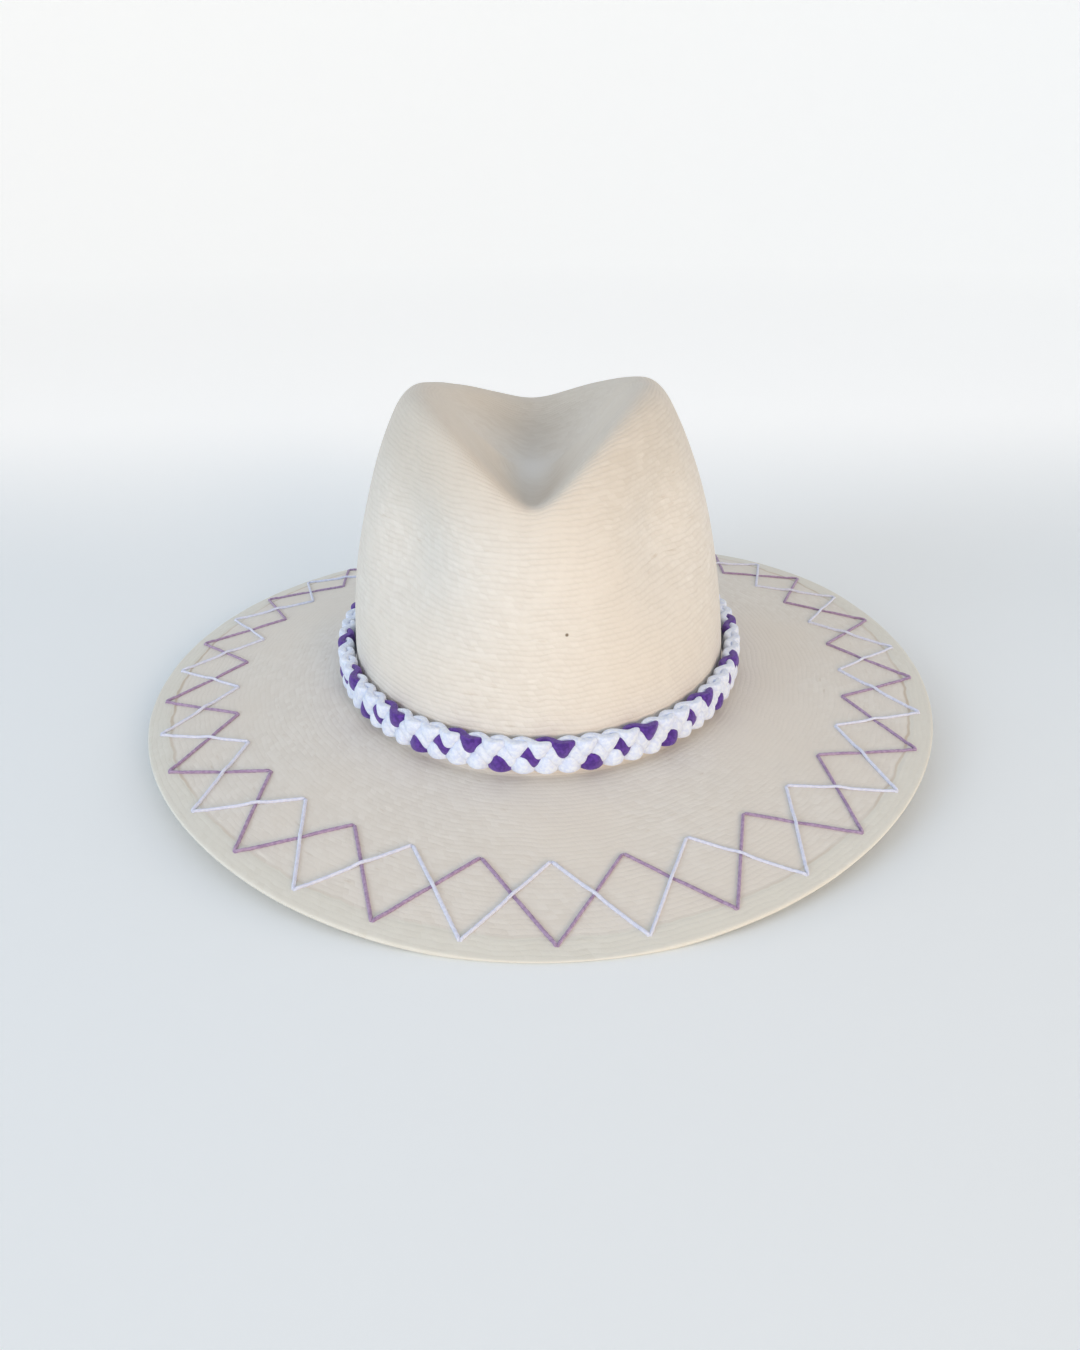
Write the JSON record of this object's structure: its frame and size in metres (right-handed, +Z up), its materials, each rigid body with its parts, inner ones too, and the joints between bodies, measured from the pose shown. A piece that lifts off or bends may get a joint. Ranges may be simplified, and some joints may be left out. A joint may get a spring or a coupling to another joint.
{
  "type": "palm straw hat",
  "caption": "Pinch-front palm straw hat with a creased oval crown, a wide hemmed brim and a braided yarn hat band.",
  "frame": {"origin": "centre of the hat's outline, on the plane that the brim's hem stands on", "axes": "+Z up through the crown, +Y from the front of the hat to its rear, +X to the right as seen from the front"},
  "size_m": [0.3739, 0.3954, 0.1549],
  "materials": {
    "palm_straw": "fine matt palm weave, bleached cream",
    "yarn_purple": "soft matt yarn",
    "yarn_white": "soft matt yarn"
  },
  "bodies": {
    "root": {"palm_body": "palm_straw", "band_strand_purple": "yarn_purple", "band_strand_white_1": "yarn_white", "band_strand_white_2": "yarn_white", "band_strand_white_3": "yarn_white"}
  },
  "joints": []
}
